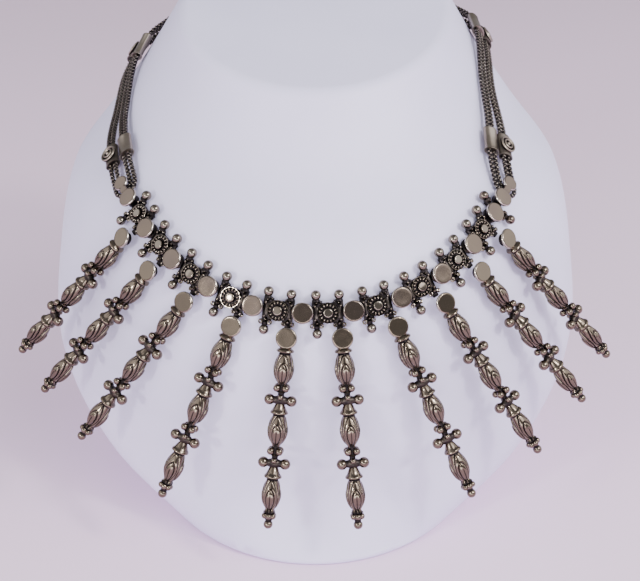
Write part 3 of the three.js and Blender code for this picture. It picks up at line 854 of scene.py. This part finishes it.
# Each pod's start, length, share of the pod radius and least width near its end
PODS = ((5.45, 12.2, 1, 0.4), (28.1, 12.2, 1, 0.4), (52.0, 12.6, 0.96, 0.62))
POD_OUTLINE = (
    (0.0, 0.54), (0.03, 0.66), (0.07, 0.745), (0.12, 0.80), (0.2, 0.87), (0.28, 0.93), (0.36, 0.975),
    (0.44, 1.0), (0.52, 0.995), (0.6, 0.96), (0.68, 0.9), (0.76, 0.815), (0.83, 0.72),
    (0.89, 0.62), (0.94, 0.52), (0.98, 0.44), (1.0, 0.4),
)


def pod_shape(bm, start, length, radius, leaves, end_share):
    """A pod of nested pointed leaves, each with a midrib, cut by dark grooves."""
    rows = 46
    stops = [share for share, _ in POD_OUTLINE]
    widths = [width for _, width in POD_OUTLINE]
    profile = [(0, start)]
    for i in range(rows + 1):
        share = i / rows
        width = float(np.interp(share, stops, widths))
        width = max(width, end_share * smoothstep(0.5, 1, share))
        profile.append((radius * width, start + share * length))
    profile.append((0, start + length))

    # Nested leaves: where each begins along the pod, its half width and how fast it opens
    leaf_edges = ((0.0, 0.9, 0.2), (0.28, 0.52, 0.11))

    def carving(angle, height, reach):
        share = (height - start) / length
        turn = (angle - math.pi / 2) * leaves / (2 * math.pi) + 0.5
        across = 2 * abs(turn % 1 - 0.5)
        closing = math.sqrt(max(1 - smoothstep(0.55, 1.04, share) ** 1.5, 0))
        out, depth = -0.5, 0
        for apex, width, speed in leaf_edges:
            if share <= apex:
                continue
            edge = width * (1 - math.exp(-(share - apex) / speed)) * closing
            gap = (across - edge) * math.pi / leaves * reach
            out += 0.3 * smoothstep(0.35, -0.8, gap)
            out -= 0.45 * math.exp(-(gap / 0.27) ** 2)
            depth = max(depth, math.exp(-(gap / 0.25) ** 2))
        if share > 0.46:
            gap = across * math.pi / leaves * reach
            rib = math.exp(-(gap / 0.24) ** 2) * smoothstep(0.46, 0.56, share) * smoothstep(0.99, 0.9, share)
            out -= 0.3 * rib
            depth = max(depth, 0.75 * rib)
        ends = max(smoothstep(0.075, 0.02, share), smoothstep(0.95, 1.0, share))
        fade = smoothstep(0.0, 0.06, share) * smoothstep(1.0, 0.94, share)
        return out * fade, max(depth * fade, 0.95 * ends)

    turn_shape(bm, profile, 96, DOWN_DROP, 0.0, carving)


def bell_cap(bm, start, length, radius):
    """An acorn cap that flares to a thick rounded rim, with a groove under it painted dark, tarnish and
    painted shade.
    """
    profile = [(0, start)]
    profile += [
        (radius * reach, start + length * share) for share, reach in (
            (0.02, 0.3), (0.12, 0.4), (0.26, 0.52), (0.42, 0.63), (0.56, 0.72), (0.66, 0.79),
            (0.74, 0.87), (0.8, 0.95), (0.86, 1.0), (0.92, 1.02), (0.97, 1.0), (1.0, 0.93),
            (1.03, 0.8), (1.03, 0.6))
    ]

    def lobes(angle, height, reach):
        share = (height - start) / length
        wave = abs(math.cos(2 * angle))
        peak = 0.42 + 0.3 * wave
        line = math.exp(-((share - peak) / 0.05) ** 2) * smoothstep(0.2, 0.4, share)
        return -0.16 * line, 0.8 * line

    turn_shape(
        bm, profile, 48, DOWN_DROP,
        lambda co: max(
            0.35 * smoothstep(start + 0.45 * length, start, co.z),
            smoothstep(start + 0.98 * length, start + 1.02 * length, co.z)), lobes)


def bead_ring(bm, count, at, reach, radius, turn):
    for i in range(count):
        angle = turn + 2 * math.pi * i / count
        place = Vector((reach * math.cos(angle), -at, reach * math.sin(angle)))
        add_ball(bm, radius, place, 14, 9, (-place.x, 0, -place.z))


def drop_mesh(sizes):
    bm = new_mesh()
    pod = sizes.pod_radius / MM
    side_ball = sizes.side_ball_radius / MM
    add_disc(bm, sizes.disc_radius / MM, HEAD_FACE, HEAD_POST_RADIUS, -HEAD_FACE)
    # The collar's ends, the stems and the joints are painted dark: tarnish and painted shade between the
    # parts
    turn_shape(bm, (
        (0, 1.0), (1.2, 1.0), (1.3, 2.6), (1.65, 3.2), (2.2, 3.7), (2.8, 4.05), (3.15, 4.4),
        (3.25, 4.75), (3.15, 5.0), (2.8, 5.12), (2.0, 5.1), (1.9, 5.7), (0, 5.7)), 40, DOWN_DROP,
        lambda co: max(0.6 * smoothstep(4.1, 3.2, co.z), smoothstep(4.95, 5.1, co.z)))
    for start, length, share, end_share in PODS:
        pod_shape(bm, start, length, pod * share, sizes.leaf_count, end_share)
    for at in STEM_STARTS:
        turn_shape(bm, (
            (0, at), (1.5, at), (1.35, at + 2.5), (1.15, at + 4.0), (1.2, at + 7.6), (0, at + 7.6)),
            20, DOWN_DROP, 0.85)
    turn_shape(bm, ((0, 64.0), (1.9, 64.0), (1.5, 66.5), (1.0, 69), (0, 69)), 20, DOWN_DROP, 0.85)
    for at, ball_at, bead_at in DROP_JOINTS:
        bead_ring(bm, 4, at, 2.25, 1.42, math.pi / 4)
        turn_shape(bm, ((0, at + 1.0), (1.5, at + 1.1), (1.75, at + 1.45), (1.5, at + 1.8), (0, at + 1.9)),
                   20, DOWN_DROP, 0.5)
        for side in (-1, 1):
            add_ball(bm, side_ball * 0.97, (side * 4.0, -ball_at, 0), 22, 13, (-side, 0.2, -0.3))
            add_ball(bm, 1.1, (0, -bead_at, side * 1.6), 14, 9, (0, 0, -side))
            joint = Matrix.Translation((0, -ball_at, 0)) @ Matrix.Rotation(side * math.pi / 2, 4, "Y")
            turn_shape(bm, ((2.0, 0), (1.95, 0.7), (1.6, 1.5), (1.35, 2.2), (1.5, 2.8)), 16, joint, 0.62)
    for start, length in BELL_CAPS:
        bell_cap(bm, start, length, BELL_RADIUS)
    bead_ring(bm, 6, LAST_BEADS_AT, 1.68, 1.2, math.pi / 2)
    add_ball(bm, TIP_BALL_RADIUS, (0, -TIP_BALL_AT, 0), 18, 11, (0, 1, 0))
    return template(bm, "Drop")


# Chains and sleeves
WEAVE_SLANT = 38


def weave_mesh(radius, pitch, hand):
    """One row of slanted wires round a core painted dark as shade inside the chain, along X; the wires are
    painted dark except along their tops.
    """
    bm = new_mesh()
    core = Matrix.Translation((pitch / 2, 0, 0)) @ Matrix.Rotation(math.pi / 2, 4, "Y")
    made = bmesh.ops.create_cone(
        bm, cap_ends=False, segments=10, radius1=radius * 0.6, radius2=radius * 0.6,
        depth=pitch, matrix=core)
    # The core is painted fully dark: painted shade inside the chain
    shade(bm, made["verts"], 1.0)
    for i in range(4):
        shift = pitch * (0.25 if i % 2 else 0.75)
        slant = hand * (1 if i % 2 else -1) * math.radians(WEAVE_SLANT)
        matrix = (
            Matrix.Translation((shift, 0, 0)) @ Matrix.Rotation(math.pi / 2 * i, 4, "X")
            @ Matrix.Translation((0, 0, radius * 0.52)) @ Matrix.Rotation(slant, 4, "Z")
            @ Matrix.Diagonal((pitch * 0.235, radius * 0.86, radius * 0.5, 1)))
        made = bmesh.ops.create_uvsphere(bm, u_segments=8, v_segments=5, radius=1, matrix=matrix)
        # Wires painted dark below their tops: painted shade between the wires
        shade(bm, made["verts"], lambda co: 1 - smoothstep(0.78, 1.02, math.hypot(co.y, co.z) / radius))
    for face in bm.faces:
        face.smooth = True
    return mesh_from(bm, "Weave")


def laid_along(mesh, points, normals, pitch):
    """Repeats a row of weave to the line's length and lays it along the line."""
    steps = np.linalg.norm(np.diff(points, axis=0), axis=1)
    distances = np.concatenate(([0], np.cumsum(steps)))
    count = int(distances[-1] / pitch)
    obj = new_object("Weave Row", mesh)
    repeat = obj.modifiers.new("Repeat", "ARRAY")
    repeat.count = count
    repeat.use_relative_offset = False
    repeat.use_constant_offset = True
    repeat.constant_offset_displace = (distances[-1] / count, 0, 0)
    bpy.context.view_layer.update()
    whole = bpy.data.meshes.new_from_object(obj.evaluated_get(bpy.context.evaluated_depsgraph_get()))
    bpy.data.objects.remove(obj)
    tangents = np.gradient(points, axis=0)
    tangents /= np.linalg.norm(tangents, axis=1)[:, None]
    sides = np.cross(tangents, normals)
    sides /= np.linalg.norm(sides, axis=1)[:, None]
    ups = np.cross(sides, tangents)
    flat = np.empty(len(whole.vertices) * 3)
    whole.vertices.foreach_get("co", flat)
    flat = flat.reshape(-1, 3)

    def along(values):
        return np.stack([np.interp(flat[:, 0], distances, values[:, k]) for k in range(3)], 1)

    laid = along(points) + along(sides) * flat[:, 1:2] + along(ups) * flat[:, 2:3]
    whole.vertices.foreach_set("co", laid.ravel())
    whole.update()
    return whole


def oval_tube(bm, half_width, half_height, stations, wall, recess):
    """An oval tube along X through (x, growth) stations, with its bore painted dark as shade inside it, and
    both ends.
    """
    count = 36
    layer = bm.verts.layers.float["recess"]
    loops = []
    path = [(x, grow) for x, grow in stations] + [(x, grow - wall) for x, grow in reversed(stations)]
    for x, grow in path:
        made = bmesh.ops.create_circle(bm, cap_ends=False, segments=count, radius=1)
        verts = made["verts"]
        for vert in verts:
            angle = math.atan2(vert.co.y, vert.co.x)
            y = (half_width + grow) * math.cos(angle)
            vert.co = (x, y, (half_height + grow) * math.sin(angle))
            # The bore is painted fully dark: painted shade inside the tube
            vert[layer] = recess if grow > -wall * 0.5 else 1.0
        loops.append(list({e for v in verts for e in v.link_edges}))
    for first, second in zip(loops, loops[1:] + loops[:1]):
        bmesh.ops.bridge_loops(bm, edges=first + second)


def sleeve_mesh(has_rosette):
    bm = new_mesh()
    half = SLEEVE_LENGTH / 2
    flare = 0.05 if has_rosette else 0.28
    oval_tube(bm, SLEEVE_HALF_WIDTH, SLEEVE_HALF_HEIGHT, (
        (-half, flare), (-half + 0.35, flare + 0.05), (-half + 0.7, 0.05), (-half + 1.1, -0.04),
        (half - 0.8, -0.04), (half - 0.3, 0.08), (half, 0.02)), SLEEVE_WALL, 0.6 if has_rosette else 0.12)
    if has_rosette:
        face = 1.93
        plate = ((0, face + 0.1), (3.4, face + 0.1), (3.55, face), (3.5, face - 0.35), (0, face - 0.4))
        # The plate under the rings and the rings' undersides are painted dark: tarnish and painted shade
        # under them
        turn_shape(bm, plate, 40, recess=0.9)
        for reach, wire, rise in ((3.2, 0.44, 0.42), (1.86, 0.36, 0.72)):
            ring = ring_profile(reach, face + rise, wire, wire, 12)
            turn_shape(bm, ring, 40, recess=lambda co: smoothstep(0.15, -0.3, co.z - face - rise))
        knob = (
            (0, face + 1.35), (0.4, face + 1.28), (0.68, face + 1.05), (0.8, face + 0.65),
            (0.8, face), (0, face))
        turn_shape(bm, knob, 24, recess=lambda co: smoothstep(0.8, 0.3, co.z - face))
    bmesh.ops.remove_doubles(bm, verts=bm.verts, dist=1e-4)
    return template(bm, "Sleeve", 50)


def clasp_mesh():
    bm = new_mesh()
    add_box(bm, (CLASP_LENGTH, 2 * CLASP_HALF_WIDTH, CLASP_THICKNESS),
            (0, 0, REST + CLASP_THICKNESS / 2), 0.9, 0.15)
    for side in (-1, 1):
        add_box(bm, (1.0, 2 * CLASP_HALF_WIDTH - 1.5, 0.5),
                (side * 5, 0, REST + CLASP_THICKNESS - 0.3), 0.2, 0.1)
    return template(bm, "Clasp")


def bust_mesh():
    """The bust's surface from a grid wrapped round it, with its ends capped and their rims rounded."""
    around, up = 120, 56
    bm = new_mesh()
    bmesh.ops.create_grid(bm, x_segments=around, y_segments=up, size=0.5)
    slope = math.tan(math.radians(NECK_TILT))
    tops = {}
    for vert in bm.verts:
        angle = (vert.co.x + 0.5) * 2 * math.pi
        level = vert.co.y + 0.5
        key = round(angle, 4)
        if key not in tops:
            top = NECK_TOP
            for _ in range(12):
                top = NECK_TOP + (bust_point(angle, top).y - NECK_TOP_AT) * slope
            tops[key] = top
        vert.co = bust_point(angle, tops[key] * level)
    bmesh.ops.remove_doubles(bm, verts=bm.verts, dist=0.01)
    rims = [e for e in bm.edges if e.is_boundary]
    bmesh.ops.holes_fill(bm, edges=rims, sides=0)
    rims = [e for e in bm.edges if any(len(f.verts) > 4 for f in e.link_faces)]
    bmesh.ops.bevel(
        bm, geom=rims, offset=BUST_RIM_ROUNDING, offset_type="OFFSET", segments=5, profile=0.5,
        affect="EDGES", material=-1, clamp_overlap=True)
    return template(bm, "Neck Bust", 60)


class NECKLACE_OT_bust(bpy.types.Operator):
    """Build the plain neck bust"""
    bl_idname = "necklace.bust"
    bl_label = "Neck Bust"

    def execute(self, context):
        material = bust_material(context.scene.necklace_colours)
        finish_piece("Neck_Bust", bust_mesh(), Matrix(), material, "bust_white", "neck_bust")
        return {"FINISHED"}


class NECKLACE_OT_links(bpy.types.Operator):
    """Build the strip of flower, disc and end links"""
    bl_idname = "necklace.links"
    bl_label = "Links"

    def execute(self, context):
        sizes = context.scene.necklace_sizes
        silver = bpy.data.materials["Worn Silver"]
        polished = bpy.data.materials["Disc Silver"]
        flower = flower_link_mesh(sizes)
        disc = disc_link_mesh(sizes)
        for i in range(FLOWER_COUNT):
            number = f"{i + 1:02d}"
            finish_piece(f"Flower_Link_{number}", flower, strip_frame(station_at(2 * i + 1)),
                         silver, "silver", f"flower_link_{number}")
            finish_piece(f"Disc_Link_{number}", disc, strip_frame(station_at(2 * i + 2)),
                         polished, "silver", f"disc_link_{number}")
        finish_piece("End_Link_Left", end_link_mesh(sizes, -1), strip_frame(station_at(0)),
                     polished, "silver", "end_link_left")
        finish_piece("End_Link_Right", end_link_mesh(sizes, 1),
                     strip_frame(station_at(2 * FLOWER_COUNT + 1)), polished, "silver", "end_link_right")
        return {"FINISHED"}


class NECKLACE_OT_drops(bpy.types.Operator):
    """Build the carved drops under the strip"""
    bl_idname = "necklace.drops"
    bl_label = "Drops"

    def execute(self, context):
        mesh = drop_mesh(context.scene.necklace_sizes)
        silver = bpy.data.materials["Drop Silver"]
        for i, (swing, lift) in enumerate(DROP_LAY):
            number = f"{i + 1:02d}"
            place = drop_frame(station_at(2 * i + 1) + BAR_OFFSET, swing, lift)
            finish_piece(f"Drop_{number}", mesh, place, silver, "silver", f"drop_{number}")
        return {"FINISHED"}


class NECKLACE_OT_chains(bpy.types.Operator):
    """Build the woven chains, their sleeves and the clasp"""
    bl_idname = "necklace.chains"
    bl_label = "Chains and Sleeves"

    def execute(self, context):
        sizes = context.scene.necklace_sizes
        woven = bpy.data.materials["Woven Silver"]
        silver = bpy.data.materials["Sleeve Silver"]
        radius = sizes.strand_diameter / MM / 2
        pitch = sizes.weave_pitch / MM
        plain, rosette = sleeve_mesh(False), sleeve_mesh(True)
        middle = (INNER_STRAND + OUTER_STRAND) / 2
        for name, side, places in (("left", -1, LEFT_ROUTE), ("right", 1, RIGHT_ROUTE)):
            route = ChainRoute(side, places)
            for which, outer in (("inner", False), ("outer", True)):
                row = weave_mesh(radius, pitch, side if outer else -side)
                mesh = laid_along(row, *route.strand_line(outer), pitch)
                finish_piece(f"Chain_{name}_{which}", mesh, Matrix(), woven, "dark_silver",
                             f"chain_{name}_{which}")
            for level, distance in (("lower", LOWER_SLEEVE_AT), ("upper", UPPER_SLEEVE_AT)):
                for kind, mesh, hand in (("plain", plain, side), ("rosette", rosette, -side)):
                    place = route.frame(distance, hand * middle) @ Matrix.Translation((0, 0, SLEEVE_LIFT))
                    finish_piece(f"{level.title()}_{kind}_sleeve_{name}", mesh, place, silver,
                                 "silver", f"{level}_{kind}_sleeve_{name}")
        nape = bust_point(math.pi, LEFT_ROUTE[-1][1])
        place = frame_at(nape, Vector((-1, 0, 0)), bust_normal(math.pi, nape.z))
        finish_piece("Clasp", clasp_mesh(), place, silver, "silver", "clasp")
        return {"FINISHED"}


class NECKLACE_OT_finishes(bpy.types.Operator):
    """Make the silver finishes"""
    bl_idname = "necklace.finishes"
    bl_label = "Finishes"

    def execute(self, context):
        colours = context.scene.necklace_colours
        tarnish_and_shade_group()
        for name, spread, polish, bump, metal in FINISHES:
            silver_material(name, colours, spread, polish, bump, metal)
        return {"FINISHED"}


class NECKLACE_OT_stage(bpy.types.Operator):
    """Set up the camera, the lights and the backdrop"""
    bl_idname = "necklace.stage"
    bl_label = "Stage"

    def execute(self, context):
        scene = context.scene
        elevation = math.radians(CAMERA_ELEVATION)
        data = bpy.data.cameras.new("Camera")
        data.lens = CAMERA_LENS
        data.sensor_width = CAMERA_SENSOR
        data.shift_x, data.shift_y = CAMERA_SHIFT
        data.clip_start = 0.01
        camera = new_object("Camera", data)
        looking = Vector((0, math.cos(elevation), -math.sin(elevation)))
        camera.location = (Vector(CAMERA_TARGET) - looking * CAMERA_DISTANCE) * MM
        camera.rotation_euler = (math.pi / 2 - elevation, 0, 0)
        scene.camera = camera

        bm = bmesh.new()
        bmesh.ops.create_grid(bm, x_segments=1, y_segments=1, size=3)
        mesh = mesh_from(bm, "Backdrop")
        mesh.materials.append(backdrop_material(scene.necklace_colours))
        new_object("Backdrop", mesh)

        for name, place, width, height, power, colour in LIGHTS:
            lamp = bpy.data.lights.new(name, "AREA")
            lamp.shape = "ELLIPSE"
            lamp.size = width
            lamp.size_y = height
            lamp.energy = power
            lamp.color = colour
            obj = new_object(name, lamp)
            obj.location = place
            aim = Vector(LIGHT_AIM) - obj.location
            obj.rotation_euler = aim.to_track_quat("-Z", "Y").to_euler()

        world = bpy.data.worlds.new("Studio")
        world.use_nodes = True
        background = world.node_tree.nodes["Background"]
        background.inputs["Color"].default_value = (*WORLD_COLOUR, 1)
        background.inputs["Strength"].default_value = WORLD_STRENGTH
        scene.world = world
        return {"FINISHED"}


class NECKLACE_PT_panel(bpy.types.Panel):
    bl_label = "Bib Necklace"
    bl_idname = "NECKLACE_PT_panel"
    bl_space_type = "VIEW_3D"
    bl_region_type = "UI"
    bl_category = "Bib Necklace"

    def draw(self, context):
        layout = self.layout
        for group in (context.scene.necklace_sizes, context.scene.necklace_colours):
            for name in group.__annotations__:
                layout.prop(group, name)
        for operator in OPERATORS:
            layout.operator(operator.bl_idname)


OPERATORS = (
    NECKLACE_OT_stage, NECKLACE_OT_finishes, NECKLACE_OT_bust,
    NECKLACE_OT_links, NECKLACE_OT_drops, NECKLACE_OT_chains,
)
CLASSES = (NecklaceSizes, NecklaceColours, *OPERATORS, NECKLACE_PT_panel)


def register():
    for cls in CLASSES:
        bpy.utils.register_class(cls)
    bpy.types.Scene.necklace_sizes = PointerProperty(type=NecklaceSizes)
    bpy.types.Scene.necklace_colours = PointerProperty(type=NecklaceColours)


def unregister():
    del bpy.types.Scene.necklace_colours
    del bpy.types.Scene.necklace_sizes
    for cls in reversed(CLASSES):
        bpy.utils.unregister_class(cls)


def main():
    register()
    bpy.ops.necklace.stage()
    bpy.ops.necklace.finishes()
    bpy.ops.necklace.bust()
    bpy.ops.necklace.links()
    bpy.ops.necklace.drops()
    bpy.ops.necklace.chains()
    bpy.context.view_layer.update()


if __name__ == "__main__":
    main()
